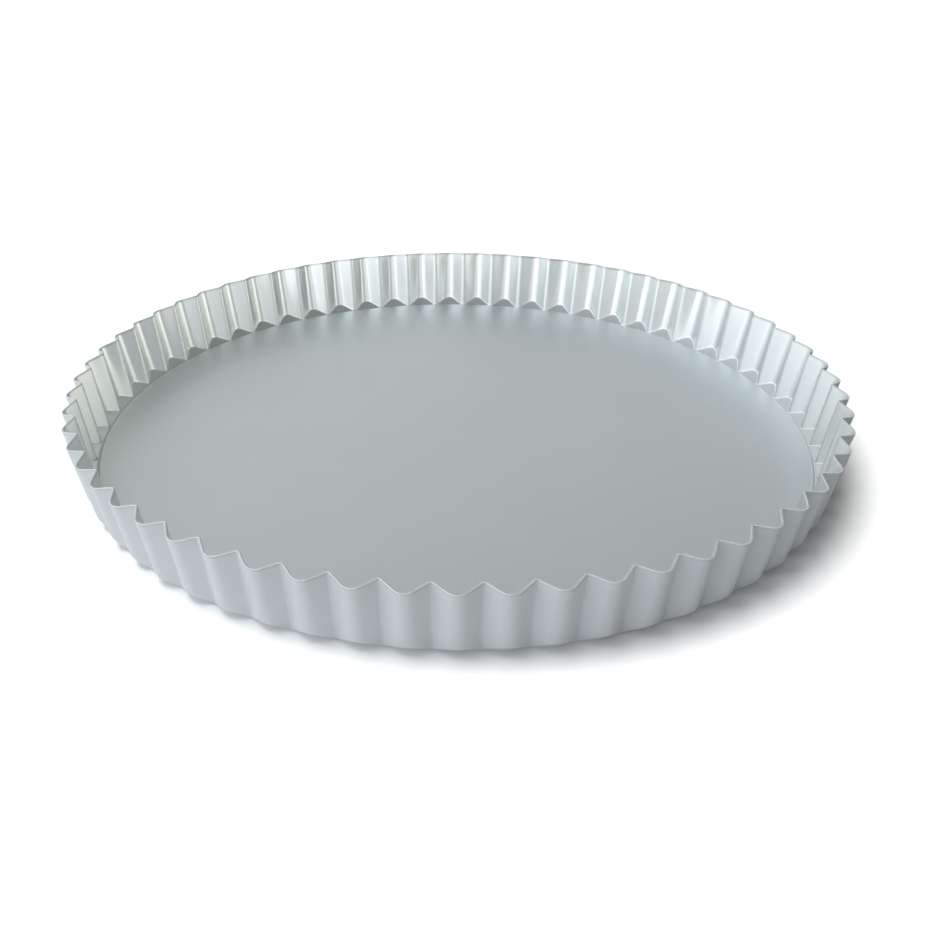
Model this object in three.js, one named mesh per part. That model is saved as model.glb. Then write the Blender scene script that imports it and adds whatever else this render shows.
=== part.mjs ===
// Loose-bottom fluted pie pan: a pressed sheet ring with an inward ledge, and a flat base that lies on it.
// Millimetres, +Z up. The origin is the centre of the pan on the surface that it stands on.
import * as THREE from 'three';

// Base and the ledge that carries it
const BASE_DIAMETER = 260;
const BASE_SHEET = 0.8;
const BASE_EDGE_EASE = 0.15; // chamfer that takes the sharp edge off the base
const BASE_CLEARANCE = 0.65; // from the base's edge to the end of the ledge's flat
const LEDGE_WIDTH = 9; // flat of the ledge

// Ring
const PAN_HEIGHT = 25.5; // from the table to the highest points of the rim
const RING_SHEET = 0.7; // wall, foot and ledge
const BEND_RADIUS = 0.6; // inside the bend from the ledge up into the foot
const FOOT_ANGLE = THREE.MathUtils.degToRad(36); // rise of the foot that closes the lower end of each flute
const ROOT_LEAN = THREE.MathUtils.degToRad(8); // outward lean of the wall along the flute roots

// Flutes: crests stand out and roots point in, joined by straight flanks; both are rounder at the foot
const FLUTE_COUNT = 62;
const RIM_FLUTE_DEPTH = 4.2; // root to crest at the rim
const FOOT_FLUTE_DEPTH = 3; // root to crest where the foot starts
const ROOT_SETBACK = 0.2; // from the start of the foot out to the roots
const RIM_ROOT_FOLD = 0.8; // radius inside the fold of a root, outside the pan, at the rim
const FOOT_ROOT_FOLD = 1.3; // the same fold where the foot starts
const RIM_CREST_FOLD = 3.4; // radius inside the fold of a crest, inside the pan, at the rim
const FOOT_CREST_FOLD = 4.5; // the same fold where the foot starts
const FULLEST_ROUNDS = 0.97; // share of the two rounds that would leave no straight flank between them
const RIM_DIP = 1.2; // how far the rim sinks from root to crest

// Facets
const ROOT_STEPS = 2;
const CREST_STEPS = 6;
const BEND_STEPS = 1;
const BASE_SEGMENTS = 3 * FLUTE_COUNT;

// Sizes that follow
const FLUTE_ANGLE = (2 * Math.PI) / FLUTE_COUNT;
const LEDGE_TOP = RING_SHEET;
const LEDGE_OUTER_RADIUS = BASE_DIAMETER / 2 + BASE_CLEARANCE;
const LEDGE_INNER_RADIUS = LEDGE_OUTER_RADIUS - LEDGE_WIDTH;
const FOOT_RADIUS = LEDGE_OUTER_RADIUS + BEND_RADIUS * Math.sin(FOOT_ANGLE);
const FOOT_HEIGHT = LEDGE_TOP + BEND_RADIUS * (1 - Math.cos(FOOT_ANGLE));
const FOOT_RUN = 1 / Math.tan(FOOT_ANGLE); // outward run of the foot for each millimetre of rise
const FOOT_SHEET_RUN = RING_SHEET / Math.sin(FOOT_ANGLE); // level distance through the foot's sheet
const FOOT_ROOT_RADIUS = FOOT_RADIUS + ROOT_SETBACK;
const RIM_ROOT_RADIUS = FOOT_ROOT_RADIUS + (PAN_HEIGHT - FOOT_HEIGHT) * Math.tan(ROOT_LEAN);

// Point at a radius, an angle round the pan and a height.
function polar(radius, angle, height) {
  return new THREE.Vector3(radius * Math.cos(angle), radius * Math.sin(angle), height);
}

// Stations along one flute at one level of the wall, from one root to just before the next. Two arcs, one round
// the root and one round the crest, are joined by straight flanks, and the crest's arc is no fuller than the
// flanks leave room for. Each station has its share of the pitch, its rise from the root and the flute's turn.
function fluteStations(rootLine, depth, rootFold, crestFold) {
  const pitch = FLUTE_ANGLE * rootLine;
  const across = pitch / 2;
  const rootRound = rootFold + RING_SHEET;
  const flanklessRounds = (across ** 2 + depth ** 2) / (2 * depth);
  const crestRound = Math.min(crestFold, FULLEST_ROUNDS * flanklessRounds - rootRound);
  const rounds = rootRound + crestRound;
  const gap = depth - rounds;
  const flank = Math.atan2(gap, across) + Math.asin(rounds / Math.hypot(across, gap));
  const stations = [];
  for (let step = 0; step <= ROOT_STEPS; step += 1) {
    const turn = flank * ((2 * step) / ROOT_STEPS - 1);
    stations.push({
      share: (rootRound * Math.sin(turn)) / pitch,
      rise: rootRound * (1 - Math.cos(turn)),
      turn,
    });
  }
  for (let step = 0; step <= CREST_STEPS; step += 1) {
    const turn = flank * (1 - (2 * step) / CREST_STEPS);
    stations.push({
      share: (across - crestRound * Math.sin(turn)) / pitch,
      rise: depth - crestRound * (1 - Math.cos(turn)),
      turn,
    });
  }
  return stations;
}

// One level of the wall at a station: the point inside the pan, and the point a sheet's thickness behind it.
function wallLevel(station, flute, rootLine, height) {
  const angle = FLUTE_ANGLE * (flute - 0.5 + station.share);
  const inside = polar(rootLine + station.rise, angle, height);
  const outside = inside.clone().add(polar(RING_SHEET, angle - station.turn, 0));
  return { inside, outside };
}

// Where a straight line of the wall, from the foot's level up to the rim, meets the sloping foot. The foot
// has the given radius at that level.
function footCrease(low, high, footRadius) {
  const lowRadius = Math.hypot(low.x, low.y);
  const highRadius = Math.hypot(high.x, high.y);
  const closing = FOOT_RUN * (high.z - low.z) - (highRadius - lowRadius);
  return low.clone().lerp(high, (lowRadius - footRadius) / closing);
}

// The closed section of the sheet at a station: down the inside, in along the ledge, back underneath and up
// the outside.
function ringSection(rimStation, footStation, flute) {
  const rimHeight = PAN_HEIGHT - (RIM_DIP * rimStation.rise) / RIM_FLUTE_DEPTH;
  const rim = wallLevel(rimStation, flute, RIM_ROOT_RADIUS, rimHeight);
  const low = wallLevel(footStation, flute, FOOT_ROOT_RADIUS, FOOT_HEIGHT);
  const innerAngle = Math.atan2(low.inside.y, low.inside.x);
  const outerAngle = Math.atan2(low.outside.y, low.outside.x);
  const section = [
    rim.inside,
    footCrease(low.inside, rim.inside, FOOT_RADIUS),
    polar(FOOT_RADIUS, innerAngle, FOOT_HEIGHT),
    polar(LEDGE_OUTER_RADIUS, innerAngle, LEDGE_TOP),
    polar(LEDGE_INNER_RADIUS, innerAngle, LEDGE_TOP),
    polar(LEDGE_INNER_RADIUS, outerAngle, 0),
  ];
  const outerBend = BEND_RADIUS + RING_SHEET;
  for (let step = 0; step <= BEND_STEPS; step += 1) {
    const turn = (FOOT_ANGLE * step) / BEND_STEPS;
    const radius = LEDGE_OUTER_RADIUS + outerBend * Math.sin(turn);
    section.push(polar(radius, outerAngle, outerBend * (1 - Math.cos(turn))));
  }
  section.push(footCrease(low.outside, rim.outside, FOOT_RADIUS + FOOT_SHEET_RUN), rim.outside);
  return section;
}

// Skins closed sections that follow each other round the axis into one closed body.
function loftRound(sections) {
  const around = sections.length;
  const along = sections[0].length;
  const corner = (turn, place) => (turn % around) * along + (place % along);
  const faces = [];
  for (let turn = 0; turn < around; turn += 1) {
    for (let place = 0; place < along; place += 1) {
      const next = corner(turn, place + 1);
      const beside = corner(turn + 1, place);
      faces.push(corner(turn, place), beside, next);
      faces.push(beside, corner(turn + 1, place + 1), next);
    }
  }
  const geometry = new THREE.BufferGeometry().setFromPoints(sections.flat());
  geometry.setIndex(faces);
  geometry.computeVertexNormals();
  return geometry;
}

// The fluted side of the pan with its ledge, one pressing.
function makeFlutedRing() {
  const rimStations = fluteStations(RIM_ROOT_RADIUS, RIM_FLUTE_DEPTH, RIM_ROOT_FOLD, RIM_CREST_FOLD);
  const footStations = fluteStations(FOOT_ROOT_RADIUS, FOOT_FLUTE_DEPTH, FOOT_ROOT_FOLD, FOOT_CREST_FOLD);
  const sections = [];
  for (let flute = 0; flute < FLUTE_COUNT; flute += 1) {
    rimStations.forEach((rimStation, place) => {
      sections.push(ringSection(rimStation, footStations[place], flute));
    });
  }
  const aluminium = new THREE.MeshStandardMaterial({ color: 0xc6cbce, roughness: 0.34, metalness: 1 });
  const ring = new THREE.Mesh(loftRound(sections), aluminium);
  ring.name = 'fluted_ring';
  return ring;
}

// The flat loose base, with both edges eased. It lies on the ledge.
function makeBaseDisc() {
  const radius = BASE_DIAMETER / 2;
  const profile = [
    new THREE.Vector2(0, 0),
    new THREE.Vector2(radius - BASE_EDGE_EASE, 0),
    new THREE.Vector2(radius, BASE_EDGE_EASE),
    new THREE.Vector2(radius, BASE_SHEET - BASE_EDGE_EASE),
    new THREE.Vector2(radius - BASE_EDGE_EASE, BASE_SHEET),
    new THREE.Vector2(0, BASE_SHEET),
  ];
  const geometry = new THREE.LatheGeometry(profile, BASE_SEGMENTS);
  const standUp = new THREE.Matrix4().makeBasis(
    new THREE.Vector3(1, 0, 0),
    new THREE.Vector3(0, 0, 1),
    new THREE.Vector3(0, -1, 0),
  );
  geometry.applyMatrix4(standUp);
  const aluminium = new THREE.MeshStandardMaterial({ color: 0xb2b8ba, roughness: 0.42, metalness: 1 });
  const disc = new THREE.Mesh(geometry, aluminium);
  disc.name = 'base_disc';
  disc.position.z = LEDGE_TOP;
  return disc;
}

const piePan = new THREE.Group();
piePan.add(makeFlutedRing(), makeBaseDisc());

export default piePan;
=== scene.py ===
"""Loose-bottom fluted pie pan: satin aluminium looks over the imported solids, in a plain white studio."""

import logging
import math
from dataclasses import dataclass, field
from enum import Enum, IntEnum

import bpy
import numpy as np
from mathutils import Matrix, Vector


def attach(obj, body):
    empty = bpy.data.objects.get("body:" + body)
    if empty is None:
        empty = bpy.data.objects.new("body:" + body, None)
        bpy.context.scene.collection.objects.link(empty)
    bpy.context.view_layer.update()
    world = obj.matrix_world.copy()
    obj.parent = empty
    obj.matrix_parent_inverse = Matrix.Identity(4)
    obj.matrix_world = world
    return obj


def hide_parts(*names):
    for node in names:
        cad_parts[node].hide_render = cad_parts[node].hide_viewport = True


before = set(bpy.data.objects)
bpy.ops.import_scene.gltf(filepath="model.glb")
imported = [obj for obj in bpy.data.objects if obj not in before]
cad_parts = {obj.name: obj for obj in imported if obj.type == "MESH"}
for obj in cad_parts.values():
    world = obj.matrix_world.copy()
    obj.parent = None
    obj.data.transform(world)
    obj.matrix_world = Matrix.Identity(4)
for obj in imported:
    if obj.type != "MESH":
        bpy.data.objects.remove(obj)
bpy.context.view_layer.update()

LOG = logging.getLogger("pie_pan")
MM = 0.001  # metres for each millimetre
PICTURE_SIDE = 940  # pixels
GUARD = 0.04  # share of a straight run between a rounded corner and the first row beside it
QUARTER_TURN = 0.25  # of a full turn, as the shader counts it
RAMP_ENDS = ("From Min", "From Max", "To Min", "To Max")


class Grain(Enum):
    """Which way the fine lines of the metal run."""

    UP_THE_FLUTES = "up the flutes"
    ALONG_THE_SHEET = "along the sheet"


class Lit(Enum):
    """What a lamp is there for."""

    METAL = "the gleam of the metal"
    FLOOR = "the floor and the pan's shadow on it"
    BOTH = "the gleam of the metal, its matt faces and the floor"


class Face(IntEnum):
    """The faces of the ring that have a finish of their own."""

    WALL = 0
    FOOT = 1
    OUTSIDE = 2


class NodeBench:
    """Lays out and links the nodes of one tree."""

    def __init__(self, tree: bpy.types.NodeTree) -> None:
        """Empties the tree.

        Args:
            tree: the node tree of a material or of the world.
        """
        self.tree = tree
        tree.nodes.clear()

    def add(self, kind: str, **settings: object) -> bpy.types.Node:
        """Adds a node.

        Args:
            kind: the node's type name.
            settings: the node's own properties and their values.

        Returns:
            The new node.
        """
        node = self.tree.nodes.new(kind)
        for name, value in settings.items():
            setattr(node, name, value)
        return node

    def link(self, source: bpy.types.NodeSocket, target: bpy.types.NodeSocket) -> None:
        """Joins an output to an input."""
        self.tree.links.new(source, target)

    def math(
        self, operation: str, first: bpy.types.NodeSocket, second: bpy.types.NodeSocket | float
    ) -> bpy.types.NodeSocket:
        """Adds an operation on two values. A third input, where it has one, is left to the caller.

        Args:
            operation: the name of the operation.
            first: the socket of the first value.
            second: a socket or a number.

        Returns:
            The socket of the result.
        """
        node = self.add("ShaderNodeMath", operation=operation)
        self.link(first, node.inputs[0])
        if isinstance(second, bpy.types.NodeSocket):
            self.link(second, node.inputs[1])
        else:
            node.inputs[1].default_value = second
        return node.outputs[0]

    def noise(self, vector: bpy.types.NodeSocket, scale: float, detail: float) -> bpy.types.NodeSocket:
        """Adds a noise texture.

        Args:
            vector: the socket of its coordinates.
            scale: features for each metre.
            detail: octaves of finer noise.

        Returns:
            The socket of its value, about 0.5 on average.
        """
        node = self.add("ShaderNodeTexNoise")
        node.inputs["Scale"].default_value = scale
        node.inputs["Detail"].default_value = detail
        self.link(vector, node.inputs["Vector"])
        return node.outputs[0]


@dataclass(frozen=True)
class SatinAluminium:
    """Aluminium sheet with a satin face, a fine grain, and edges lightened with a painted highlight and
    polished, or darkened with painted shade and dulled.

    Lengths are in metres, and densities in features for each metre. Stretch is how far a reflection is drawn
    out, and metal is how metallic the shader is.
    """

    name: str
    colour: tuple[float, float, float]
    roughness: float
    grain: Grain
    stretch: float = 0.0
    metal: float = 1.0
    # how far the edge value lifts the colour above 0, a painted highlight, and darkens it below 0, painted
    # shade
    painted_light_and_polish: float = 0.1
    burnish_gloss: float = 0.06
    cloud: float = 0.03
    cloud_density: float = 28.0
    cloud_roughness: float = 0.04
    line_radius: float = 0.135
    line_density: float = 900.0
    line_rise_density: float = 30.0
    sheet_densities: tuple[float, float, float] = (9.0, 900.0, 40.0)
    line_roughness: float = 0.06
    line_depth: float = 0.000002
    line_detail: float = 3.0
    speckle_density: float = 5200.0
    speckle_depth: float = 0.0000012
    soft_detail: float = 2.0

    def make(self) -> bpy.types.Material:
        """Makes the material.

        Returns:
            A material whose nodes read only the piece's own coordinates and its painted_light_and_polish
            attribute.
        """
        material = bpy.data.materials.new(self.name)
        material.use_nodes = True
        bench = NodeBench(material.node_tree)
        shader = bench.add("ShaderNodeBsdfPrincipled")
        shader.inputs["Metallic"].default_value = self.metal
        place = bench.add("ShaderNodeTexCoord").outputs["Object"]
        lines = bench.noise(self._line_place(bench, place), scale=1.0, detail=self.line_detail)
        speckle = bench.noise(place, self.speckle_density, self.soft_detail)
        cloud = bench.noise(place, self.cloud_density, self.soft_detail)
        # the edge value holds painted highlight and painted shade on the edges, together with their polish
        edge = bench.add("ShaderNodeAttribute", attribute_name="painted_light_and_polish").outputs["Fac"]
        self._colour(bench, shader, cloud, edge)
        self._roughness(bench, shader, lines, cloud, edge)
        self._relief(bench, shader, lines, speckle)
        if self.stretch:
            round_pan = bench.add("ShaderNodeTangent", direction_type="RADIAL", axis="Z")
            bench.link(round_pan.outputs[0], shader.inputs["Tangent"])
            shader.inputs["Anisotropic"].default_value = self.stretch
            shader.inputs["Anisotropic Rotation"].default_value = QUARTER_TURN
        output = bench.add("ShaderNodeOutputMaterial")
        bench.link(shader.outputs["BSDF"], output.inputs["Surface"])
        return material

    def _line_place(self, bench: NodeBench, place: bpy.types.NodeSocket) -> bpy.types.NodeSocket:
        """Stretches the coordinates along the grain.

        Args:
            bench: where the nodes go.
            place: the piece's own coordinates.

        Returns:
            Coordinates in which noise of scale 1 gives fine lines.
        """
        if self.grain is Grain.ALONG_THE_SHEET:
            stretch = bench.add("ShaderNodeVectorMath", operation="MULTIPLY")
            stretch.inputs[1].default_value = self.sheet_densities
            bench.link(place, stretch.inputs[0])
            return stretch.outputs[0]
        level = bench.add("ShaderNodeVectorMath", operation="MULTIPLY")
        level.inputs[1].default_value = (1.0, 1.0, 0.0)
        bench.link(place, level.inputs[0])
        direction = bench.add("ShaderNodeVectorMath", operation="NORMALIZE")
        bench.link(level.outputs[0], direction.inputs[0])
        round_way = bench.add("ShaderNodeVectorMath", operation="SCALE")
        round_way.inputs["Scale"].default_value = self.line_density * self.line_radius
        bench.link(direction.outputs[0], round_way.inputs[0])
        rise = bench.add("ShaderNodeVectorMath", operation="MULTIPLY_ADD")
        rise.inputs[1].default_value = (0.0, 0.0, self.line_rise_density)
        bench.link(place, rise.inputs[0])
        bench.link(round_way.outputs[0], rise.inputs[2])
        return rise.outputs[0]

    def _colour(
        self,
        bench: NodeBench,
        shader: bpy.types.Node,
        cloud: bpy.types.NodeSocket,
        edge: bpy.types.NodeSocket,
    ) -> None:
        """Tones the metal a little in clouds, and lightens its edges with a painted highlight or darkens
        them with painted shade.

        Args:
            bench: where the nodes go.
            shader: the metal's shader.
            cloud: broad noise.
            edge: the painted light and polish, above 0 a painted highlight where polished and below 0
                painted shade where dull.
        """
        tone = bench.math("MULTIPLY_ADD", cloud, 2.0 * self.cloud)
        tone.node.inputs[2].default_value = 1.0 - self.cloud
        # the painted highlight or painted shade of the edges goes into the colour here
        lift = bench.math("MULTIPLY_ADD", edge, self.painted_light_and_polish)
        bench.link(tone, lift.node.inputs[2])
        colour = bench.add("ShaderNodeVectorMath", operation="SCALE")
        colour.inputs[0].default_value = self.colour
        bench.link(lift, colour.inputs["Scale"])
        bench.link(colour.outputs[0], shader.inputs["Base Color"])

    def _roughness(
        self,
        bench: NodeBench,
        shader: bpy.types.Node,
        lines: bpy.types.NodeSocket,
        cloud: bpy.types.NodeSocket,
        edge: bpy.types.NodeSocket,
    ) -> None:
        """Varies the gloss with the grain, and polishes or dulls the edges.

        Args:
            bench: where the nodes go.
            shader: the metal's shader.
            lines: noise along the grain.
            cloud: broad noise.
            edge: the painted light and polish, above 0 where polished and below 0 where dull.
        """
        mixed = bench.math("MULTIPLY_ADD", lines, self.line_roughness)
        noise_mean = (self.line_roughness + self.cloud_roughness) / 2
        mixed.node.inputs[2].default_value = self.roughness - noise_mean
        clouded = bench.math("MULTIPLY_ADD", cloud, self.cloud_roughness)
        bench.link(mixed, clouded.node.inputs[2])
        polished = bench.math("MULTIPLY_ADD", edge, -self.burnish_gloss)
        bench.link(clouded, polished.node.inputs[2])
        bench.link(polished, shader.inputs["Roughness"])

    def _relief(
        self,
        bench: NodeBench,
        shader: bpy.types.Node,
        lines: bpy.types.NodeSocket,
        speckle: bpy.types.NodeSocket,
    ) -> None:
        """Raises the grain and the fine speckle of the anodised face.

        Args:
            bench: where the nodes go.
            shader: the metal's shader.
            lines: noise along the grain.
            speckle: very fine noise.
        """
        fine = bench.add("ShaderNodeBump")
        fine.inputs["Distance"].default_value = self.speckle_depth
        bench.link(speckle, fine.inputs["Height"])
        long_lines = bench.add("ShaderNodeBump")
        long_lines.inputs["Distance"].default_value = self.line_depth
        bench.link(lines, long_lines.inputs["Height"])
        bench.link(fine.outputs[0], long_lines.inputs["Normal"])
        bench.link(long_lines.outputs[0], shader.inputs["Normal"])


@dataclass
class Corner:
    """A corner of a section, and the straight run after it.

    It has one point for each station, how far its round reaches, the run's face, the steps in the round, the
    parts that the run is divided into, and the painted light and polish of the round: above 0 a painted
    highlight and polish, below 0 painted shade and dulling.
    """

    points: np.ndarray
    reach: float | np.ndarray
    face: Face
    steps: int
    run: int
    painted_light_and_polish: float = 0.0

    def round_end(self, neighbour: "Corner") -> np.ndarray:
        """Where the round ends on the side of a neighbour.

        Args:
            neighbour: the corner before or after this one.

        Returns:
            One point for each station.
        """
        reach = np.reshape(self.reach * np.ones(len(self.points)), (-1, 1))
        return self.points + unit(neighbour.points - self.points) * reach


def unit(vectors: np.ndarray) -> np.ndarray:
    """Scales each row to length one."""
    return vectors / np.linalg.norm(vectors, axis=1, keepdims=True)


def polar(radius: float | np.ndarray, turn: np.ndarray, height: float | np.ndarray) -> np.ndarray:
    """Points at radii, angles and heights.

    Args:
        radius: distance from the pan's axis.
        turn: angle round the axis.
        height: height above the table.

    Returns:
        One row of x, y and z for each angle.
    """
    zeros = np.zeros_like(turn)
    return np.stack([radius * np.cos(turn), radius * np.sin(turn), height + zeros], axis=1)


def rounded_section(corners: list[Corner]) -> tuple[np.ndarray, np.ndarray, np.ndarray]:
    """Rounds each corner of closed sections and divides the straight runs between them.

    A round has the outside's finish, and the run after it has the corner's own.

    Args:
        corners: the corners in order; the last joins the first.

    Returns:
        The points, as stations by rows by three, each row's painted light and polish, and its face.
    """
    rows: list[np.ndarray] = []
    painted_light_and_polish: list[float] = []
    faces: list[Face] = []
    for place, corner in enumerate(corners):
        following = corners[(place + 1) % len(corners)]
        start = corner.round_end(corners[place - 1])
        end = corner.round_end(following)
        for step in range(corner.steps + 1):
            share = step / corner.steps
            rows.append(
                (1 - share) ** 2 * start + 2 * share * (1 - share) * corner.points + share**2 * end
            )
            painted_light_and_polish.append(corner.painted_light_and_polish)
            faces.append(Face.OUTSIDE)
        faces[-1] = corner.face
        next_start = following.round_end(corner)
        for share in np.concatenate([[GUARD], np.linspace(0, 1, corner.run + 1)[1:-1], [1 - GUARD]]):
            rows.append(end + (next_start - end) * share)
            painted_light_and_polish.append(0.0)
            faces.append(corner.face)
    return np.stack(rows, axis=1), np.array(painted_light_and_polish), np.array(faces, dtype=np.int32)


def skin_round(name: str, grid: np.ndarray, painted_light_and_polish: np.ndarray) -> bpy.types.Object:
    """Skins closed sections that follow each other round the axis.

    Args:
        name: the piece's name.
        grid: points in millimetres, as stations by rows by three.
        painted_light_and_polish: each row's painted highlight or painted shade, with its polish.

    Returns:
        The new object, smooth shaded, in metres.
    """
    around, along = grid.shape[:2]
    turn, row = np.meshgrid(np.arange(around), np.arange(along), indexing="ij")
    next_turn = (turn + 1) % around
    next_row = (row + 1) % along
    faces = np.stack(
        [turn * along + row, next_turn * along + row, next_turn * along + next_row, turn * along + next_row],
        axis=-1,
    ).reshape(-1, 4)
    return make_piece(name, grid.reshape(-1, 3), faces.tolist(), np.tile(painted_light_and_polish, around))


def make_piece(
    name: str, points: np.ndarray, faces: list[list[int]], painted_light_and_polish: np.ndarray
) -> bpy.types.Object:
    """Makes a smooth-shaded object.

    Args:
        name: the piece's name.
        points: its points in millimetres.
        faces: the points of each face.
        painted_light_and_polish: each point's painted highlight or painted shade, with its polish.

    Returns:
        The new object, in metres, linked to the scene.
    """
    mesh = bpy.data.meshes.new(name)
    mesh.from_pydata((points * MM).tolist(), [], faces)
    mesh.polygons.foreach_set("use_smooth", np.ones(len(faces), dtype=bool))
    layer = mesh.attributes.new("painted_light_and_polish", "FLOAT", "POINT")
    layer.data.foreach_set("value", painted_light_and_polish.astype(np.float32))
    mesh.validate()
    piece = bpy.data.objects.new(name, mesh)
    bpy.context.scene.collection.objects.link(piece)
    return piece


@dataclass
class FluteLevel:
    """The flutes at one level of the wall: arcs round root and crest, joined by straight flanks.

    Lengths are in millimetres, and the arcs are those of the inside.
    """

    depth: float
    crest_radius: float
    root_radius: float
    root_steps: int = 7
    flank_steps: int = 3
    crest_steps: int = 10

    def stations(self, pitch: float) -> tuple[np.ndarray, np.ndarray, np.ndarray]:
        """Stations along one flute, from root to root.

        Args:
            pitch: distance from root to root at this level, in millimetres.

        Returns:
            The share of the pitch, the rise from the root in millimetres, and the wall's turn.
        """
        across = pitch / 2
        both = self.root_radius + self.crest_radius
        gap = self.depth - both
        flank = math.atan2(gap, across) + math.asin(both / math.hypot(across, gap))
        root_turn = np.linspace(-flank, flank, self.root_steps + 1)
        crest_turn = np.linspace(flank, -flank, self.crest_steps + 1)
        root = (self.root_radius * np.sin(root_turn), self.root_radius * (1 - np.cos(root_turn)), root_turn)
        crest = (
            across - self.crest_radius * np.sin(crest_turn),
            self.depth - self.crest_radius * (1 - np.cos(crest_turn)),
            crest_turn,
        )
        shares = np.linspace(0, 1, self.flank_steps + 1)[1:-1]
        pieces = []
        for root_line, crest_line, next_root in zip(root, crest, (pitch, 0.0, 0.0)):
            up = root_line[-1] + (crest_line[0] - root_line[-1]) * shares
            down = crest_line[-1] + (root_line[0] + next_root - crest_line[-1]) * shares
            pieces.append(np.concatenate([root_line, up, crest_line, down]))
        along, rise, turn = pieces
        return along / pitch, rise, turn


@dataclass
class FlutedRing:
    """The fluted side of the pan with the ledge that carries the base, pressed from one sheet.

    Lengths are in millimetres. A painted light and polish above 0 is a painted highlight on a polished
    place, and one below 0 is painted shade on a dull one.
    """

    finishes: dict[Face, SatinAluminium]
    flutes: int = 62
    rim_flute: FluteLevel = field(
        default_factory=lambda: FluteLevel(depth=4.2, crest_radius=3.4, root_radius=1.5)
    )
    foot_flute: FluteLevel = field(
        default_factory=lambda: FluteLevel(depth=3.0, crest_radius=4.5, root_radius=2.0)
    )
    height: float = 25.5
    sheet: float = 0.7
    rim_dip: float = 1.2
    ledge_outer_radius: float = 130.65
    ledge_width: float = 9.0
    bend_radius: float = 0.6
    foot_angle: float = math.radians(36.0)
    root_lean: float = math.radians(8.0)
    root_setback: float = 0.2
    rim_ease: float = 0.3
    in_crease_reach: float = 0.22
    out_crease_reach: float = 1.8
    out_crease_share: float = 0.6
    # painted shade on the rim's rounded edges, darker and duller, to quiet their gleam
    rim_inner_painted_shade: float = -2.5
    rim_outer_painted_shade: float = -1.5
    # painted highlight along the inside crease, lighter and a little glossier
    crease_painted_highlight: float = 0.5
    # painted shade in the bend beside the base: the shadow of the gap, darker and duller
    bend_painted_shade: float = -2.0
    # painted highlight on the ledge's inner lip, lighter and glossier
    lip_painted_highlight: float = 1.0

    def build(self) -> bpy.types.Object:
        """Builds the ring and puts it in place of its solid.

        Returns:
            The ring's object.
        """
        grid, painted_light_and_polish, faces = rounded_section(self._corners())
        ring = skin_round("pressed_ring", grid, painted_light_and_polish)
        ring.data.polygons.foreach_set("material_index", np.tile(faces, len(grid)))
        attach(ring, "ring")
        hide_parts("fluted_ring")
        return ring

    def dress(self, ring: bpy.types.Object) -> None:
        """Gives each face of the ring its finish.

        Args:
            ring: the ring's object.
        """
        for face in Face:
            ring.data.materials.append(self.finishes[face].make())

    def _corners(self) -> list[Corner]:
        """Works out the corners of the sheet's section at every station.

        Returns:
            The corners from the rim's inside down, in along the ledge, back underneath and up the outside.
        """
        foot_radius = self.ledge_outer_radius + self.bend_radius * math.sin(self.foot_angle)
        foot_height = self.sheet + self.bend_radius * (1 - math.cos(self.foot_angle))
        foot_root = foot_radius + self.root_setback
        rim_root = foot_root + (self.height - foot_height) * math.tan(self.root_lean)
        rim_in, rim_out = self._level(self.rim_flute, rim_root, self.height, self.rim_dip)
        low_in, low_out = self._level(self.foot_flute, foot_root, foot_height, 0.0)
        crease_in = self._crease(low_in, rim_in, foot_radius)
        crease_out = self._crease(low_out, rim_out, foot_radius + self.sheet / math.sin(self.foot_angle))
        in_turn = np.arctan2(low_in[:, 1], low_in[:, 0])
        out_turn = np.arctan2(low_out[:, 1], low_out[:, 0])
        half_bend = math.tan(self.foot_angle / 2)
        in_reach = self.bend_radius * half_bend
        out_reach = (self.bend_radius + self.sheet) * half_bend
        lip_radius = self.ledge_outer_radius - self.ledge_width
        corner_out = polar(self.ledge_outer_radius + out_reach, out_turn, 0.0)
        foot_length = np.linalg.norm(crease_out - corner_out, axis=1) - out_reach
        crease_reach = np.minimum(self.out_crease_reach, self.out_crease_share * foot_length)
        bend_in = polar(self.ledge_outer_radius + in_reach, in_turn, self.sheet)
        lip_top = polar(lip_radius, in_turn, self.sheet)
        lip_bottom = polar(lip_radius, out_turn, 0.0)
        return [
            Corner(rim_in, self.rim_ease, Face.WALL, steps=3, run=8, painted_light_and_polish=self.rim_inner_painted_shade),
            Corner(crease_in, self.in_crease_reach, Face.FOOT, steps=3, run=4, painted_light_and_polish=self.crease_painted_highlight),
            Corner(bend_in, in_reach, Face.FOOT, steps=3, run=2, painted_light_and_polish=self.bend_painted_shade),
            Corner(lip_top, self.rim_ease, Face.OUTSIDE, steps=2, run=1, painted_light_and_polish=self.lip_painted_highlight),
            Corner(lip_bottom, self.rim_ease, Face.OUTSIDE, steps=2, run=2, painted_light_and_polish=self.lip_painted_highlight),
            Corner(corner_out, out_reach, Face.OUTSIDE, steps=4, run=2),
            Corner(crease_out, crease_reach, Face.OUTSIDE, steps=5, run=8),
            Corner(rim_out, self.rim_ease, Face.FOOT, steps=3, run=1, painted_light_and_polish=self.rim_outer_painted_shade),
        ]

    def _level(
        self, flute: FluteLevel, root: float, height: float, dip: float
    ) -> tuple[np.ndarray, np.ndarray]:
        """The wall's inside and outside at one level, all the way round.

        Args:
            flute: the flutes at this level.
            root: radius of the roots.
            height: height of the roots.
            dip: how much lower the crests are.

        Returns:
            The points inside the pan, and those a sheet's thickness behind them.
        """
        share, rise, turn = (
            np.tile(line, self.flutes) for line in flute.stations(2 * math.pi * root / self.flutes)
        )
        place = np.repeat(np.arange(self.flutes), len(share) // self.flutes)
        angle = 2 * math.pi / self.flutes * (place - 0.5 + share)  # a crest is on +X
        inside = polar(root + rise, angle, height - dip * rise / flute.depth)
        return inside, inside + polar(self.sheet, angle - turn, 0.0)

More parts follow.
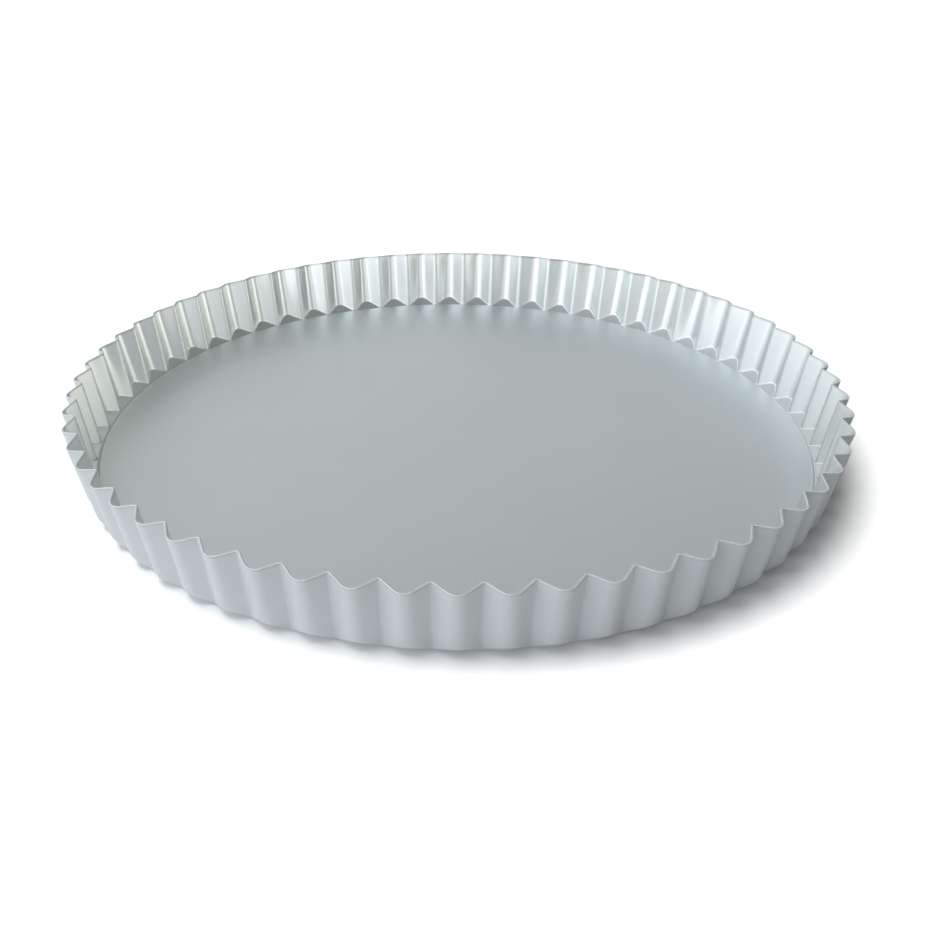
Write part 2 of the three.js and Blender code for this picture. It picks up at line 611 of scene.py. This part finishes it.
    def _crease(self, low: np.ndarray, high: np.ndarray, foot_radius: float) -> np.ndarray:
        """Where the straight lines of the wall meet the sloping foot.

        Args:
            low: the wall at the level where the foot starts.
            high: the wall at the rim.
            foot_radius: the foot's radius at that level.

        Returns:
            One point for each line.
        """
        low_radius = np.hypot(low[:, 0], low[:, 1])
        high_radius = np.hypot(high[:, 0], high[:, 1])
        closing = (high[:, 2] - low[:, 2]) / math.tan(self.foot_angle) - (high_radius - low_radius)
        share = ((low_radius - foot_radius) / closing).reshape(-1, 1)
        return low + (high - low) * share


@dataclass
class LooseBase:
    """The flat base that lies on the ring's ledge, in millimetres."""

    finish: SatinAluminium
    radius: float = 130.0
    sheet: float = 0.8
    rest_height: float = 0.7
    edge_ease: float = 0.2
    segments: int = 372
    edge_steps: int = 4
    flat_radii: tuple[float, ...] = (30.0, 60.0, 90.0, 115.0, 127.0, 129.5)

    def build(self) -> bpy.types.Object:
        """Builds the base and puts it in place of its solid.

        Returns:
            The base's object.
        """
        low, high = self.rest_height, self.rest_height + self.sheet
        rounding = np.linspace(0, math.pi / 2, self.edge_steps + 1)
        edge_radii = self.radius - self.edge_ease * (1 - np.sin(rounding))
        drop = self.edge_ease * (1 - np.cos(rounding))
        radii = np.concatenate([self.flat_radii, edge_radii, edge_radii[::-1], self.flat_radii[::-1]])
        flat = np.zeros(len(self.flat_radii))
        heights = np.concatenate([flat + high, high - drop, low + drop[::-1], flat + low])
        # the base's rounded edge gets a painted highlight and a little polish
        edge = np.concatenate([flat, np.ones(2 * len(edge_radii)), flat])
        turn = np.linspace(0, 2 * math.pi, self.segments, endpoint=False)
        rows = len(radii)
        points = np.stack([polar(radius, turn, height) for radius, height in zip(radii, heights)], axis=1)
        poles = np.array([(0.0, 0.0, high), (0.0, 0.0, low)])
        top, bottom = self.segments * rows, self.segments * rows + 1
        faces = []
        for here in range(self.segments):
            first, second = here * rows, (here + 1) % self.segments * rows
            faces.append([top, first, second])
            for row in range(rows - 1):
                faces.append([first + row, first + row + 1, second + row + 1, second + row])
            faces.append([bottom, second + rows - 1, first + rows - 1])
        painted_light_and_polish = np.concatenate([np.tile(edge, self.segments), [0.0, 0.0]])
        base = make_piece("loose_base", np.concatenate([points.reshape(-1, 3), poles]), faces, painted_light_and_polish)
        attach(base, "base")
        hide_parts("base_disc")
        return base

    def dress(self, base: bpy.types.Object) -> None:
        """Gives the base its finish."""
        base.data.materials.append(self.finish.make())


@dataclass(frozen=True)
class SoftLamp:
    """A broad lamp far away.

    Its azimuth turns from the front to the right, and all its angles are in degrees.
    """

    name: str
    lit: Lit
    azimuth: float
    elevation: float
    width: float
    brightness: float
    colour: tuple[float, float, float] = (1.0, 1.0, 1.0)

    def hang(self, shielded: bpy.types.Object) -> bpy.types.Object:
        """Hangs the lamp.

        Args:
            shielded: the piece that a window is kept off, so that it does not glare.

        Returns:
            The lamp's object.
        """
        light = bpy.data.lights.new(self.name, "SUN")
        light.energy = self.brightness * math.pi * math.sin(math.radians(self.width / 2)) ** 2
        light.angle = math.radians(self.width)
        light.color = self.colour
        lamp = bpy.data.objects.new(self.name, light)
        azimuth, elevation = math.radians(self.azimuth), math.radians(self.elevation)
        towards = Vector(
            (
                math.cos(elevation) * math.sin(azimuth),
                -math.cos(elevation) * math.cos(azimuth),
                math.sin(elevation),
            )
        )
        lamp.rotation_euler = towards.to_track_quat("Z", "Y").to_euler()
        lamp.location = towards
        lamp.visible_diffuse = self.lit is not Lit.METAL
        lamp.visible_glossy = self.lit is not Lit.FLOOR
        bpy.context.scene.collection.objects.link(lamp)
        if self.lit is not Lit.FLOOR:
            receivers = bpy.data.collections.new(f"{self.name}_receivers")
            receivers.objects.link(shielded)
            receivers.collection_objects[0].light_linking.link_state = "EXCLUDE"
            lamp.light_linking.receiver_collection = receivers
        return lamp


@dataclass
class Studio:
    """A white room with a grey ceiling: a pale floor that keeps the pan's shadow, and soft lamps.

    Lengths are in metres and angles in degrees. The ceiling is grey out to the first angle of its reach and
    fades to white at the second. The floor that the metal mirrors is a painted reflection: a glow seen only
    in reflections, graded in brightness along x from bright at one end of its reach to dark at the other,
    which stands in for light on the left and shade on the right.
    """

    lamps: tuple[SoftLamp, ...]
    floor_side: float = 6.0
    floor_colour: float = 0.85
    floor_reach: tuple[float, float] = (-0.2, 0.2)
    # painted reflection: the floor's glow in reflections, bright to the left and dark to the right, standing
    # in for light and shade
    floor_painted_reflection: tuple[float, float] = (0.95, 0.0)
    fill: float = 0.1
    ceiling: float = 0.22
    ceiling_middle: tuple[float, float, float] = (0.25, 0.117, 0.96)
    ceiling_reach: tuple[float, float] = (38.0, 55.0)

    def build(self, shielded: bpy.types.Object) -> None:
        """Builds the floor, the surround and the lamps.

        Args:
            shielded: the piece that the windows are kept off.
        """
        self._floor()
        self._surround()
        for lamp in self.lamps:
            lamp.hang(shielded)
        bpy.context.scene.view_settings.view_transform = "Standard"

    @staticmethod
    def _seen(bench: NodeBench) -> bpy.types.NodeSocket:
        """A value that is 1 for what the camera, a reflection or a clear piece sees, and else 0.

        Args:
            bench: where the nodes go.

        Returns:
            The socket of the value.
        """
        path = bench.add("ShaderNodeLightPath").outputs
        either = bench.math("MAXIMUM", path["Is Camera Ray"], path["Is Glossy Ray"])
        return bench.math("MAXIMUM", either, path["Is Transmission Ray"])

    def _floor(self) -> None:
        """Lays the floor: matt and pale, and in reflections a painted reflection, a glow graded in
        brightness along x.
        """
        half = self.floor_side / 2
        mesh = bpy.data.meshes.new("studio_floor")
        corners = [(-half, -half, 0), (half, -half, 0), (half, half, 0), (-half, half, 0)]
        mesh.from_pydata(corners, [], [(0, 1, 2, 3)])
        floor = bpy.data.objects.new("studio_floor", mesh)
        bpy.context.scene.collection.objects.link(floor)
        material = bpy.data.materials.new("white_floor")
        material.use_nodes = True
        bench = NodeBench(material.node_tree)
        across = bench.add("ShaderNodeSeparateXYZ")
        bench.link(bench.add("ShaderNodeTexCoord").outputs["Object"], across.inputs[0])
        painted_reflection = bench.add("ShaderNodeMapRange", interpolation_type="SMOOTHSTEP")
        for name, value in zip(RAMP_ENDS, (*self.floor_reach, *self.floor_painted_reflection)):
            painted_reflection.inputs[name].default_value = value
        bench.link(across.outputs["X"], painted_reflection.inputs["Value"])
        # the painted reflection glows only for reflections; everything else sees the matt floor
        painted_glow = bench.add("ShaderNodeEmission")
        bench.link(painted_reflection.outputs["Result"], painted_glow.inputs["Strength"])
        matt = bench.add("ShaderNodeBsdfDiffuse")
        matt.inputs["Color"].default_value = (self.floor_colour,) * 3 + (1.0,)
        mix = bench.add("ShaderNodeMixShader")
        bench.link(bench.add("ShaderNodeLightPath").outputs["Is Glossy Ray"], mix.inputs[0])
        bench.link(matt.outputs[0], mix.inputs[1])
        bench.link(painted_glow.outputs[0], mix.inputs[2])
        output = bench.add("ShaderNodeOutputMaterial")
        bench.link(mix.outputs[0], output.inputs["Surface"])
        mesh.materials.append(material)

    def _surround(self) -> None:
        """Makes the room: white to the camera and in reflections, grey overhead, and even as fill light."""
        world = bpy.data.worlds.new("white_room")
        bpy.context.scene.world = world
        world.use_nodes = True
        bench = NodeBench(world.node_tree)
        direction = bench.add("ShaderNodeTexCoord").outputs["Generated"]
        height = bench.add("ShaderNodeVectorMath", operation="DOT_PRODUCT")
        height.inputs[1].default_value = Vector(self.ceiling_middle).normalized()
        bench.link(direction, height.inputs[0])
        ramp = bench.add("ShaderNodeMapRange", interpolation_type="SMOOTHSTEP")
        inner, outer = (math.cos(math.radians(angle)) for angle in self.ceiling_reach)
        for name, value in zip(RAMP_ENDS, (outer, inner, 1.0, self.ceiling)):
            ramp.inputs[name].default_value = value
        bench.link(height.outputs["Value"], ramp.inputs["Value"])
        fill = bench.add("ShaderNodeBackground")
        fill.inputs["Strength"].default_value = self.fill
        white = bench.add("ShaderNodeBackground")
        bench.link(ramp.outputs["Result"], white.inputs["Strength"])
        for node in (fill, white):
            node.inputs["Color"].default_value = (1.0, 1.0, 1.0, 1.0)
        mix = bench.add("ShaderNodeMixShader")
        bench.link(self._seen(bench), mix.inputs[0])
        bench.link(fill.outputs[0], mix.inputs[1])
        bench.link(white.outputs[0], mix.inputs[2])
        output = bench.add("ShaderNodeOutputWorld")
        bench.link(mix.outputs[0], output.inputs["Surface"])


@dataclass
class PhotoCamera:
    """The camera of the photograph.

    Its place and sensor are in millimetres, its roll in radians, its lens and centre in pixels, and the
    nearest and farthest that it sees in metres.
    """

    place: tuple[float, float, float] = (-23.45, -357.32, 184.70)
    forward: tuple[float, float, float] = (0.0126, 0.8704, -0.4921)
    roll: float = -0.0138
    focal_pixels: float = 1055.79
    centre_pixels: tuple[float, float] = (404.3, 470.0)
    sensor: float = 36.0
    nearest: float = 0.01
    farthest: float = 20.0

    def set_up(self) -> bpy.types.Object:
        """Puts the camera in place and makes it the scene's camera.

        Returns:
            The camera's object.
        """
        data = bpy.data.cameras.new("photo_camera")
        data.sensor_width = self.sensor
        data.lens = self.focal_pixels / PICTURE_SIDE * self.sensor
        data.shift_x = 0.5 - self.centre_pixels[0] / PICTURE_SIDE
        data.shift_y = self.centre_pixels[1] / PICTURE_SIDE - 0.5
        data.clip_start = self.nearest
        data.clip_end = self.farthest
        forward = Vector(self.forward).normalized()
        level_right = forward.cross(Vector((0, 0, 1))).normalized()
        level_up = level_right.cross(forward)
        cos, sin = math.cos(self.roll), math.sin(self.roll)
        right = level_right * cos + level_up * sin
        up = level_up * cos - level_right * sin
        camera = bpy.data.objects.new("photo_camera", data)
        turn = Matrix((right, up, -forward)).transposed().to_4x4()
        camera.matrix_world = Matrix.Translation(Vector(self.place) * MM) @ turn
        bpy.context.scene.collection.objects.link(camera)
        bpy.context.scene.camera = camera
        return camera


def main() -> None:
    """Builds and dresses the pan, then the studio around it."""
    logging.basicConfig(level=logging.INFO, format="%(name)s: %(message)s")
    ring_finishes = {
        Face.WALL: SatinAluminium(
            "wall_satin", (0.635, 0.665, 0.66), roughness=0.3, grain=Grain.UP_THE_FLUTES, stretch=0.9
        ),
        # the foot, the bend and the rim's cut edge are a darker copy of the wall's metal: painted shade,
        # with a rougher finish
        Face.FOOT: SatinAluminium(
            "foot_satin_and_painted_shade", (0.55, 0.58, 0.585), roughness=0.45, grain=Grain.UP_THE_FLUTES
        ),
        Face.OUTSIDE: SatinAluminium(
            "outside_satin", (0.535, 0.57, 0.58), roughness=0.4, grain=Grain.UP_THE_FLUTES, metal=0.3
        ),
    }
    base_finish = SatinAluminium(
        "base_satin", (0.725, 0.78, 0.79), roughness=0.55, grain=Grain.ALONG_THE_SHEET
    )
    pieces: list[bpy.types.Object] = []
    for part in (FlutedRing(ring_finishes), LooseBase(base_finish)):
        piece = part.build()
        part.dress(piece)
        pieces.append(piece)
        LOG.info("%s: %d faces", piece.name, len(piece.data.polygons))
    lamps = (
        SoftLamp(
            "front_window", Lit.BOTH, azimuth=-60.0, elevation=15.0, width=80.0,
            brightness=1.95, colour=(0.92, 0.97, 1.03),
        ),
        SoftLamp(
            "left_window", Lit.METAL, azimuth=-120.0, elevation=15.0, width=30.0,
            brightness=1.75, colour=(0.88, 0.95, 1.06),
        ),
        SoftLamp(
            "right_window", Lit.METAL, azimuth=86.0, elevation=10.0, width=48.0,
            brightness=1.9, colour=(1.0, 1.0, 0.82),
        ),
        SoftLamp("near_window", Lit.METAL, azimuth=0.0, elevation=15.0, width=60.0, brightness=0.9),
        SoftLamp("top_lamp", Lit.FLOOR, azimuth=-105.0, elevation=73.0, width=36.0, brightness=11.2),
    )
    _, base = pieces
    Studio(lamps).build(shielded=base)
    PhotoCamera().set_up()


if __name__ == "__main__":
    main()
